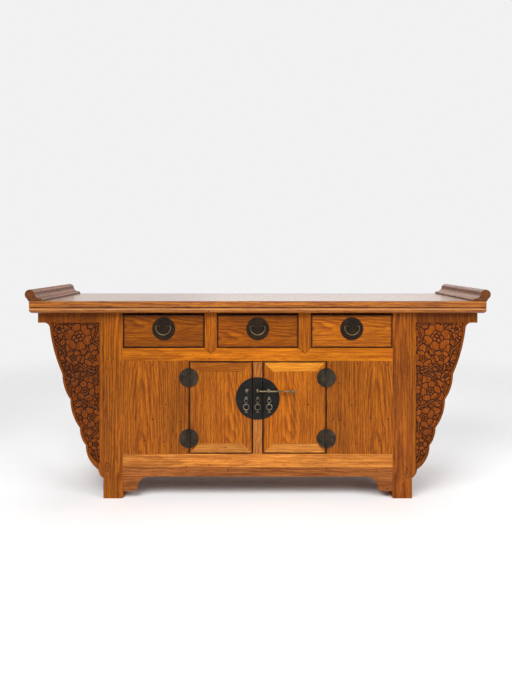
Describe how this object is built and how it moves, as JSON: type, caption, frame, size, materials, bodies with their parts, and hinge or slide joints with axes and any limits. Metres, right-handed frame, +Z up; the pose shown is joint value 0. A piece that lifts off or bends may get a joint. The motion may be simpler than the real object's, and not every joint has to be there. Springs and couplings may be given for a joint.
{
  "type": "altar cabinet",
  "caption": "Long low wooden altar cabinet with scroll ends, carved spandrels, a row of drawers, a cupboard with doors, and a sliding lock pin.",
  "frame": {"origin": "middle of the footprint on the floor", "axes": "+Z up, +X to the right seen from the front, front faces -Y"},
  "size_m": [1.9, 0.45, 0.865],
  "materials": {
    "elm_top": "satin",
    "elm_frame": "satin",
    "elm_rail": "satin",
    "elm_carved": "satin",
    "elm_panel": "satin",
    "inner_wood": "matte",
    "dark_brass": "dark patina",
    "worn_brass": "worn"
  },
  "bodies": {
    "cabinet": {"top_front_rail": "elm_top", "top_back_rail": "elm_top", "top_end_rails": "elm_top", "top_panel": "elm_top", "left_scroll_flange": "elm_top", "right_scroll_flange": "elm_top", "front_left_leg": "elm_frame", "front_right_leg": "elm_frame", "back_left_leg": "elm_frame", "back_right_leg": "elm_frame", "apron": "elm_frame", "drawer_dividers": "elm_frame", "back_spandrels": "elm_frame", "side_rails": "elm_frame", "back_rails": "elm_frame", "drawer_rail": "elm_rail", "bottom_rail": "elm_rail", "carved_spandrels": "elm_carved", "left_fixed_panel": "elm_panel", "right_fixed_panel": "elm_panel", "side_panels": "elm_panel", "top_battens": "inner_wood", "back_panels": "inner_wood", "floor_board": "inner_wood", "drawer_runners": "inner_wood", "hinge_fixed_leaves": "dark_brass", "hinge_pins": "dark_brass"},
    "left_drawer": {"left_drawer_front": "elm_panel", "left_drawer_box": "inner_wood", "left_drawer_plate": "dark_brass"},
    "middle_drawer": {"middle_drawer_front": "elm_panel", "middle_drawer_box": "inner_wood", "middle_drawer_plate": "dark_brass"},
    "right_drawer": {"right_drawer_front": "elm_panel", "right_drawer_box": "inner_wood", "right_drawer_plate": "dark_brass"},
    "left_door": {"left_door_frame": "elm_frame", "left_door_panel": "elm_panel", "left_door_hinge_leaves": "dark_brass", "left_lock_plate": "dark_brass", "left_lock_eyes": "worn_brass"},
    "right_door": {"right_door_frame": "elm_frame", "right_door_panel": "elm_panel", "right_door_hinge_leaves": "dark_brass", "right_lock_plate": "dark_brass", "right_lock_eyes": "worn_brass"},
    "center_post": {"center_post": "elm_frame", "center_lock_plate": "dark_brass", "center_lock_eyes": "worn_brass"},
    "left_bail": {"left_drawer_bail": "worn_brass"},
    "middle_bail": {"middle_drawer_bail": "worn_brass"},
    "right_bail": {"right_drawer_bail": "worn_brass"},
    "left_pull": {"left_pull": "worn_brass"},
    "center_pull": {"center_pull": "worn_brass"},
    "right_pull": {"right_pull": "worn_brass"},
    "lock_pin": {"lock_pin": "worn_brass", "pin_chain": "worn_brass"}
  },
  "joints": [
    {"name": "left_drawer_slide", "type": "slide", "parent": "cabinet", "child": "left_drawer", "axis": [0, -1, 0], "range_m": [0, 0.25]},
    {"name": "left_bail_hinge", "type": "hinge", "parent": "left_drawer", "child": "left_bail", "pos_m": [-0.38867, -0.2055, 0.713], "axis": [-1, 0, 0], "range_deg": [0, 120]},
    {"name": "middle_drawer_slide", "type": "slide", "parent": "cabinet", "child": "middle_drawer", "axis": [0, -1, 0], "range_m": [0, 0.25]},
    {"name": "middle_bail_hinge", "type": "hinge", "parent": "middle_drawer", "child": "middle_bail", "pos_m": [0, -0.2055, 0.713], "axis": [-1, 0, 0], "range_deg": [0, 120]},
    {"name": "right_drawer_slide", "type": "slide", "parent": "cabinet", "child": "right_drawer", "axis": [0, -1, 0], "range_m": [0, 0.25]},
    {"name": "right_bail_hinge", "type": "hinge", "parent": "right_drawer", "child": "right_bail", "pos_m": [0.38867, -0.2055, 0.713], "axis": [-1, 0, 0], "range_deg": [0, 120]},
    {"name": "left_door_hinge", "type": "hinge", "parent": "cabinet", "child": "left_door", "pos_m": [-0.28425, -0.1995, 0.3735], "axis": [0, 0, -1], "range_deg": [0, 160]},
    {"name": "right_door_hinge", "type": "hinge", "parent": "cabinet", "child": "right_door", "pos_m": [0.28425, -0.1995, 0.3735], "axis": [0, 0, 1], "range_deg": [0, 160]},
    {"name": "post_lift", "type": "slide", "parent": "cabinet", "child": "center_post", "axis": [0, 0, 1], "range_m": [0, 0.004]},
    {"name": "left_pull_hinge", "type": "hinge", "parent": "left_door", "child": "left_pull", "pos_m": [-0.0475, -0.205, 0.414], "axis": [-1, 0, 0], "range_deg": [0, 80]},
    {"name": "center_pull_hinge", "type": "hinge", "parent": "center_post", "child": "center_pull", "pos_m": [0, -0.205, 0.414], "axis": [-1, 0, 0], "range_deg": [0, 80]},
    {"name": "right_pull_hinge", "type": "hinge", "parent": "right_door", "child": "right_pull", "pos_m": [0.0475, -0.205, 0.414], "axis": [-1, 0, 0], "range_deg": [0, 80]},
    {"name": "pin_slide", "type": "slide", "parent": "right_door", "child": "lock_pin", "axis": [1, 0, 0], "range_m": [-0.0825, 0.035]}
  ]
}
